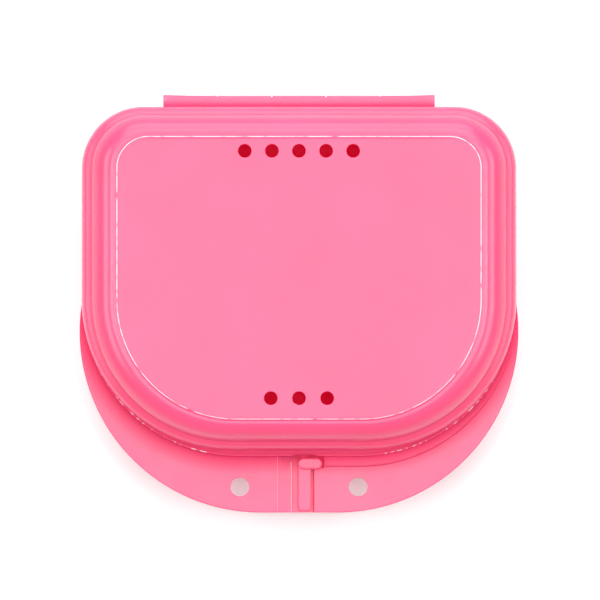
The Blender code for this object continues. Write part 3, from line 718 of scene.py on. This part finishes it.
def paint_latch_seat(base):
    """Painted shade: deep red where the pad's pocket lies in its own shade. Painted highlights: pale lines
    on the recess's edge and rib.
    """
    floor_z = RECESS_Z - DETENT_HEIGHT
    pocket_low = (PAD_LEFT_X, RIM_FRONT_Y - PAD_DEPTH, RECESS_Z + FIT_GAP / 3)
    pocket_high = (PAD_LEFT_X + PAD_WIDTH + 2 * FIT_GAP, LID_FRONT_Y, BASE_HEIGHT - FIT_GAP)
    # Painted shade: the pocket's walls and the slip take the deep red of the inside
    paint(base, INSIDE_SHADE_SLOT, pocket_low, pocket_high, -STEEP_UP, STEEP_UP)
    paint(base, INSIDE_SHADE_SLOT, *shade_box())
    # Painted highlights on the recess's top edge and on the rib
    edge_low = (RECESS_LEFT_X - RECESS_EDGE_ROUND, FLANGE_FRONT_Y + OVERRUN, floor_z)
    edge_high = (RECESS_LEFT_X + RECESS_EDGE_ROUND / 3, RIM_FRONT_Y, FLANGE_TOP_Z)
    paint(base, EDGE_HIGHLIGHT_SLOT, edge_low, edge_high, SLOPE_UP, NEARLY_LEVEL_UP)
    rib_low = (DETENT_X - DETENT_WIDTH / 4, FLANGE_FRONT_Y, RECESS_Z + DETENT_HEIGHT / 4)
    rib_high = (DETENT_X + DETENT_WIDTH / 4, RIM_FRONT_Y, RECESS_Z + 2 * DETENT_HEIGHT)
    paint(base, EDGE_HIGHLIGHT_SLOT, rib_low, rib_high, SLOPE_UP)


def shade_box():
    """The floor of the gap to the right of the pad and behind it, as a thin slip painted deep red: painted
    shade.
    """
    right = PAD_LEFT_X + PAD_WIDTH
    low = (right - FIT_GAP, PAD_BACK_Y - GAP_DEPTH_SHARE * PAD_DEPTH, RECESS_Z)
    high = (right + GAP_WIDTH_SHARE * FIT_GAP, PAD_BACK_Y + FIT_GAP / 2, FLANGE_TOP_Z + FIT_GAP / 10)
    return low, high


def make_base(*materials):
    """The lower moulding, with flange, ledge, holes, the lever's seat and two knuckles."""
    rings, strips = tray_rings()
    # The cavity's strips and its floor take the inside's painted shade and glow
    base = loft("base_moulding", rings, strips, range(strips[-1] + 2, len(rings)), 1)
    add(base, flange_blank())
    add(base, ledge_blank())
    for number, side in enumerate((-1, 1)):
        centre = (side * LANYARD_HOLE_X, LANYARD_HOLE_Y)
        cut(base, eased_hole(f"lanyard_hole_{number}", centre, LANYARD_HOLE_RADIUS, FLANGE_TOP_Z))
    cut(base, recess_cutter())
    cut(base, pocket_cutter())
    cut(base, slot_cutter())
    hole = [(STUD_HOLE_RADIUS, z) for z in (FLANGE_BOTTOM_Z - OVERRUN, FLANGE_TOP_Z + OVERRUN)]
    cut(base, turned("pivot_hole", (STEM_CENTRE_X, PIVOT_Y), hole))
    add(base, detent_rib())
    # A thin slip in the gap beside the pad, for painted shade
    add(base, block("gap_shade_slip", *shade_box()))
    for number, (left, right) in enumerate(knuckle_spans(0)):
        ends = (left - KNUCKLE_GAP, right + KNUCKLE_GAP)
        cut(base, cross_cylinder(f"lid_knuckle_room_{number}", KNUCKLE_CLEAR_RADIUS, *ends))
    for number, (left, right) in enumerate(knuckle_spans(1)):
        add(base, cross_cylinder(f"base_knuckle_{number}", KNUCKLE_RADIUS, left, right))
    cut(base, cross_cylinder("base_pin_bore", PIN_BORE_RADIUS, -HINGE_LENGTH, HINGE_LENGTH))
    settle(base, *materials)
    paint_latch_seat(base)
    return base


def rounded_rectangle(low, high, radius):
    steps = ROUND_STEPS // 4
    corners = (
        ((high[0] - radius, low[1] + radius), -QUARTER),
        ((high[0] - radius, high[1] - radius), 0.0),
        ((low[0] + radius, high[1] - radius), QUARTER),
        ((low[0] + radius, low[1] + radius), 2 * QUARTER),
    )
    points = []
    for centre, start in corners:
        points += arc(centre, radius, start, start + QUARTER, steps)
    return points


def make_lever(*materials):
    """Stem, thumb pad, tongue, stud and barb in one moulding."""
    half = STEM_WIDTH / 2
    stem_back = PAD_BACK_Y - PAD_DEPTH / 4
    inner = half - STEM_CORNER_RADIUS
    steps = ROUND_STEPS // 4
    points = []
    for side, start in ((-inner, 2 * QUARTER), (inner, 3 * QUARTER)):
        corner = (STEM_CENTRE_X + side, PIVOT_Y - inner)
        points += arc(corner, STEM_CORNER_RADIUS, start, start + QUARTER, steps)
    points += [(STEM_CENTRE_X + half, stem_back), (STEM_CENTRE_X - half, stem_back)]
    lever = prism("lever_moulding", points, LEVER_Z, LEVER_Z + STEM_THICKNESS)
    bevel(lever, STEM_EDGE_ROUND)
    pad_low = (PAD_LEFT_X, PAD_BACK_Y - PAD_DEPTH)
    pad_high = (PAD_LEFT_X + PAD_WIDTH, PAD_BACK_Y)
    outline = rounded_rectangle(pad_low, pad_high, PAD_CORNER_RADIUS)
    pad = prism("thumb_pad", outline, PAD_BOTTOM_Z, PAD_BOTTOM_Z + PAD_HEIGHT)
    bevel(pad, PAD_EDGE_ROUND, 2 * BEVEL_STEPS)
    add(lever, pad)
    tongue_low = (STEM_CENTRE_X - TONGUE_WIDTH / 2, PAD_BACK_Y - PAD_DEPTH, TONGUE_LOW_Z)
    tongue_high = (STEM_CENTRE_X + TONGUE_WIDTH / 2, PIVOT_Y + TONGUE_LENGTH, TONGUE_HIGH_Z)
    add(lever, block("tongue", tongue_low, tongue_high))
    stud = [(STUD_RADIUS, BARB_TOP_Z - BARB_HEIGHT / 2), (STUD_RADIUS, LEVER_Z + STEM_THICKNESS / 2)]
    add(lever, turned("stud", (STEM_CENTRE_X, PIVOT_Y), stud))
    barb = [(BARB_TIP_RADIUS, BARB_TOP_Z - BARB_HEIGHT), (BARB_RADIUS, BARB_TOP_Z)]
    add(lever, turned("barb", (STEM_CENTRE_X, PIVOT_Y), barb))
    settle(lever, *materials)
    # Painted shade: the tongue under the rim takes the deeper pink of the lid's foot
    shaded_low = (PAD_LEFT_X, PAD_BACK_Y - FIT_GAP / 3, TONGUE_LOW_Z)
    paint(lever, TONGUE_SHADE_SLOT, shaded_low, (PAD_WIDTH, 0.0, TONGUE_HIGH_Z + FIT_GAP / 3))
    return lever


def make_pin(*materials):
    pin = cross_cylinder("pin_wire", PIN_RADIUS, -PIN_HALF_LENGTH, PIN_HALF_LENGTH)
    bevel(pin, PIN_RADIUS / 4)
    return settle(pin, *materials)


def link(tree, source, output, target, socket):
    tree.links.new(source.outputs[output], target.inputs[socket])


def noise(tree, scale, detail):
    """Noise over the piece's own place, in cycles per metre."""
    place = tree.nodes.new("ShaderNodeTexCoord")
    texture = tree.nodes.new("ShaderNodeTexNoise")
    texture.inputs["Scale"].default_value = scale
    texture.inputs["Detail"].default_value = detail
    link(tree, place, "Object", texture, "Vector")
    return texture


def ramp(tree, source, output, span, low_colour, high_colour):
    """Two colours, or two greys given as numbers, mixed by a value as it runs over the span."""
    node = tree.nodes.new("ShaderNodeValToRGB")
    for element, place, colour in zip(node.color_ramp.elements, span, (low_colour, high_colour)):
        element.position = place
        element.color = (*colour, 1.0) if isinstance(colour, tuple) else (colour, colour, colour, 1.0)
    link(tree, source, output, node, "Fac")
    return node


def new_material(name):
    material = bpy.data.materials.new(name)
    material.use_nodes = True
    return material, material.node_tree, material.node_tree.nodes["Principled BSDF"]


def pink_plastic(name, deep=PINK, pale=PINK_PALE):
    """Satin polypropylene: cloudy pink, soft gloss and a little depth."""
    material, tree, shader = new_material(name)
    clouds = ramp(tree, noise(tree, *CLOUD_NOISE), "Fac", MIDDLE_SPAN, deep, pale)
    link(tree, clouds, "Color", shader, "Base Color")
    rough = ramp(tree, noise(tree, *GRAIN_NOISE), "Fac", WIDE_SPAN, *PLASTIC_ROUGHNESS)
    link(tree, rough, "Color", shader, "Roughness")
    shader.inputs["IOR"].default_value = PLASTIC_IOR
    shader.inputs["Specular IOR Level"].default_value = SHINE
    shader.inputs["Subsurface Weight"].default_value = GLOW_SHARE
    shader.inputs["Subsurface Radius"].default_value = GLOW_RADII
    shader.inputs["Subsurface Scale"].default_value = GLOW_DEPTH
    return material


def inside_shade_glow_plastic(name):
    """The same plastic on the inside as painted shade and light: deeper red, duller, and a painted red glow
    for the light that seeps through the thin walls.
    """
    material = pink_plastic(name, PINK_INSIDE_SHADE, PINK_INSIDE_SHADE)
    shader = material.node_tree.nodes["Principled BSDF"]
    shader.inputs["Specular IOR Level"].default_value = SHINE_INSIDE
    shader.inputs["Emission Color"].default_value = (*PAINTED_INSIDE_GLOW, 1.0)
    shader.inputs["Emission Strength"].default_value = 1.0
    return material


def math_step(tree, operation, first, second):
    """One sum on values: each side is a number, or a node whose first output is taken."""
    step = tree.nodes.new("ShaderNodeMath")
    step.operation = operation
    for number, side in enumerate((first, second)):
        if isinstance(side, (int, float)):
            step.inputs[number].default_value = side
        else:
            link(tree, side, 0, step, number)
    return step


def sides_of(tree):
    """The piece's own x as a distance from the middle, and its y."""
    place = tree.nodes.new("ShaderNodeTexCoord")
    parts = tree.nodes.new("ShaderNodeSeparateXYZ")
    link(tree, place, "Object", parts, "Vector")
    across = math_step(tree, "ABSOLUTE", parts, 0.0)
    along = tree.nodes.new("ShaderNodeMath")
    along.operation = "ADD"
    along.inputs[1].default_value = 0.0
    link(tree, parts, "Y", along, 0)
    return across, along


def shade_share(tree):
    """Painted shade by place: 0 where it is deepest at the rim's foot and 1 out of it, by the distance from
    the rim's outline.
    """
    across, along = sides_of(tree)
    right = math_step(tree, "SUBTRACT", across, RIM_OUTLINE.half_width - RIM_OUTLINE.front_radius)
    right = math_step(tree, "MAXIMUM", right, 0.0)
    front = math_step(tree, "SUBTRACT", along, RIM_OUTLINE.front_y + RIM_OUTLINE.front_radius)
    front = math_step(tree, "MINIMUM", front, 0.0)
    right_squared = math_step(tree, "MULTIPLY", right, right)
    front_squared = math_step(tree, "MULTIPLY", front, front)
    reach = math_step(tree, "SQRT", math_step(tree, "ADD", right_squared, front_squared), 0.0)
    outward = math_step(tree, "SUBTRACT", reach, RIM_OUTLINE.front_radius)
    from_foot = math_step(tree, "ABSOLUTE", math_step(tree, "ADD", outward, SHADE_MIDDLE), 0.0)
    share = math_step(tree, "SUBTRACT", from_foot, SHADE_START)
    share = math_step(tree, "DIVIDE", share, SHADE_END - SHADE_START)
    return math_step(tree, "MINIMUM", math_step(tree, "MAXIMUM", share, 0.0), 1.0)


def painted_shade_plastic(name):
    """The plastic, paler all over as painted light, with painted shade: deeper and duller round the lid's
    foot, where it only sees more pink plastic.
    """
    material = pink_plastic(name, PINK_PALE, PINK_PAINTED_BRIGHT)
    tree = material.node_tree
    shader = tree.nodes["Principled BSDF"]
    clouds = shader.inputs["Base Color"].links[0].from_node
    share = shade_share(tree)
    mix = tree.nodes.new("ShaderNodeMix")
    mix.data_type = "RGBA"
    link(tree, share, 0, mix, MIX_SHARE)
    # Painted shade: the deeper pink and the lower shine towards the rim's foot
    mix.inputs[MIX_FIRST].default_value = (*PINK_PAINTED_SHADE, 1.0)
    link(tree, clouds, "Color", mix, MIX_SECOND)
    link(tree, mix, MIX_RESULT, shader, "Base Color")
    shine = ramp(tree, share, 0, (0.0, 1.0), SHINE_SHADE, SHINE)
    link(tree, shine, "Color", shader, "Specular IOR Level")
    return material


def painted_highlight_line(name, dashes, from_middle=0.0, front_of=LID_BACK_Y, pale=HIGHLIGHT_WHITE):
    """A painted highlight: a pale line along a moulded edge, broken by noise, and only in one part of the
    edge.
    """
    material, tree, shader = new_material(name)
    across, along = sides_of(tree)
    beside = math_step(tree, "GREATER_THAN", across, from_middle)
    before = math_step(tree, "LESS_THAN", along, front_of)
    scale, broken, blend = dashes
    grain = noise(tree, scale, DASH_DETAIL)
    highlight_share = math_step(tree, "MULTIPLY", grain, math_step(tree, "MULTIPLY", beside, before))
    tone = ramp(tree, highlight_share, 0, (broken, broken + blend), PINK_PALE, pale)
    link(tree, tone, "Color", shader, "Base Color")
    rough = ramp(tree, noise(tree, *GRAIN_NOISE), "Fac", WIDE_SPAN, *LINE_ROUGHNESS)
    link(tree, rough, "Color", shader, "Roughness")
    return material


def drawn_steel(name):
    """Drawn wire: grey steel with a fine unevenness in its polish and tint."""
    material, tree, shader = new_material(name)
    drawn = ramp(tree, noise(tree, *DRAWN_NOISE), "Fac", MIDDLE_SPAN, *STEEL_ROUGHNESS)
    link(tree, drawn, "Color", shader, "Roughness")
    darker = tuple(STEEL_TINT_SHARE * value for value in STEEL)
    tint = ramp(tree, noise(tree, *TINT_NOISE), "Fac", WIDE_SPAN, STEEL, darker)
    link(tree, tint, "Color", shader, "Base Color")
    shader.inputs["Metallic"].default_value = 1.0
    return material


def dress(piece, body, node):
    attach(piece, body)
    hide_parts(node)


def seen_directly(tree):
    """1 for rays from the camera, a mirror or glass, and 0 for the rays that light the object."""
    path = tree.nodes.new("ShaderNodeLightPath")
    first = tree.nodes.new("ShaderNodeMath")
    first.operation = "MAXIMUM"
    link(tree, path, "Is Camera Ray", first, 0)
    link(tree, path, "Is Glossy Ray", first, 1)
    second = tree.nodes.new("ShaderNodeMath")
    second.operation = "MAXIMUM"
    link(tree, first, 0, second, 0)
    link(tree, path, "Is Transmission Ray", second, 1)
    return second


def make_floor():
    """A pale floor that reads white in the picture and keeps the case's shadow."""
    builder = bmesh.new()
    bmesh.ops.create_grid(builder, x_segments=1, y_segments=1, size=FLOOR_HALF_SIZE)
    floor = new_object("floor", builder)
    material = bpy.data.materials.new("floor_paper")
    material.use_nodes = True
    tree = material.node_tree
    tree.nodes.clear()
    diffuse = tree.nodes.new("ShaderNodeBsdfDiffuse")
    diffuse.inputs["Color"].default_value = (*PAPER, 1.0)
    lift = tree.nodes.new("ShaderNodeMath")
    lift.operation = "MULTIPLY"
    link(tree, seen_directly(tree), 0, lift, 0)
    lift.inputs[1].default_value = FLOOR_LIFT
    glow = tree.nodes.new("ShaderNodeEmission")
    link(tree, lift, 0, glow, "Strength")
    both = tree.nodes.new("ShaderNodeAddShader")
    link(tree, diffuse, 0, both, 0)
    link(tree, glow, 0, both, 1)
    output = tree.nodes.new("ShaderNodeOutputMaterial")
    link(tree, both, 0, output, "Surface")
    floor.data.materials.append(material)


def white_background(tree, strength):
    background = tree.nodes.new("ShaderNodeBackground")
    background.inputs["Color"].default_value = (1.0, 1.0, 1.0, 1.0)
    background.inputs["Strength"].default_value = strength
    return background


def make_world():
    """Even white: dim where it lights the case, plain white where it is seen."""
    world = bpy.data.worlds.new("studio")
    bpy.context.scene.world = world
    world.use_nodes = True
    tree = world.node_tree
    tree.nodes.clear()
    choose = tree.nodes.new("ShaderNodeMixShader")
    link(tree, seen_directly(tree), 0, choose, 0)
    link(tree, white_background(tree, FILL_STRENGTH), 0, choose, 1)
    link(tree, white_background(tree, 1.0), 0, choose, 2)
    output = tree.nodes.new("ShaderNodeOutputWorld")
    link(tree, choose, 0, output, "Surface")


def soft_light(name, degrees_right, degrees_back, size, brightness):
    """A rectangular soft box that faces the case, of a given brightness per area and angle."""
    light = bpy.data.lights.new(name, "AREA")
    light.shape = "RECTANGLE"
    light.size = size[0]
    light.size_y = size[1]
    light.energy = brightness * math.pi * size[0] * size[1]
    lamp = bpy.data.objects.new(name, light)
    right = math.tan(math.radians(degrees_right))
    back = math.tan(math.radians(degrees_back))
    place = Vector((right, back, 1.0)).normalized() * LIGHT_DISTANCE
    lamp.location = place
    lamp.rotation_euler = (-place).to_track_quat("-Z", "Y").to_euler()
    bpy.context.scene.collection.objects.link(lamp)


def make_camera():
    """The photograph's view: far off, long lens, almost straight down."""
    camera = bpy.data.cameras.new("photo_camera")
    camera.sensor_width = SENSOR
    camera.lens = SENSOR * CAMERA_DISTANCE / (PHOTO_WIDTH_PX * MM_PER_PX)
    camera.clip_end = 2 * CAMERA_DISTANCE
    target = Vector(
        (
            (CENTRE_PX[0] - CASE_ZERO_PX[0]) * MM_PER_PX,
            (CASE_ZERO_PX[1] - CENTRE_PX[1]) * MM_PER_PX,
            BASE_HEIGHT,
        )
    )
    away = Vector((0.0, -math.cos(CAMERA_ELEVATION), math.sin(CAMERA_ELEVATION)))
    eye = bpy.data.objects.new("photo_camera", camera)
    eye.location = target + away * CAMERA_DISTANCE
    eye.rotation_euler = (-away).to_track_quat("-Z", "Y").to_euler()
    bpy.context.scene.collection.objects.link(eye)
    bpy.context.scene.camera = eye


def main():
    lid_pink = pink_plastic("lid_pink")
    shaded = painted_shade_plastic("painted_shade_pink")
    # Painted highlight lines along the panel's edge, the rim's edge and the lever's seat
    panel_highlight_line = painted_highlight_line("panel_highlight_line", PANEL_DASHES)
    rim_highlight_line = painted_highlight_line("rim_highlight_line", RIM_DASHES, RIM_DASH_START, RIM_DASH_BACK_Y)
    edge_highlight_line = painted_highlight_line("edge_highlight_line", EDGE_DASHES, pale=EDGE_HIGHLIGHT_PALE)
    inside = inside_shade_glow_plastic("inside_shade_glow_pink")
    dress(make_lid(lid_pink, panel_highlight_line, inside), "lid", "lid_shell")
    dress(make_base(shaded, rim_highlight_line, inside, edge_highlight_line), "base", "base_tray")
    # The lever's paler pink is painted light on the thumb pad
    lever_pink = pink_plastic("lever_pink", PINK_PALE, PINK_PAINTED_BRIGHT)
    dress(make_lever(lever_pink, shaded), "lever", "latch_lever")
    dress(make_pin(drawn_steel("pin_steel")), "base", "hinge_pin")
    make_floor()
    make_world()
    for light in LIGHTS:
        soft_light(*light)
    make_camera()
    bpy.context.scene.view_settings.view_transform = "Standard"


main()
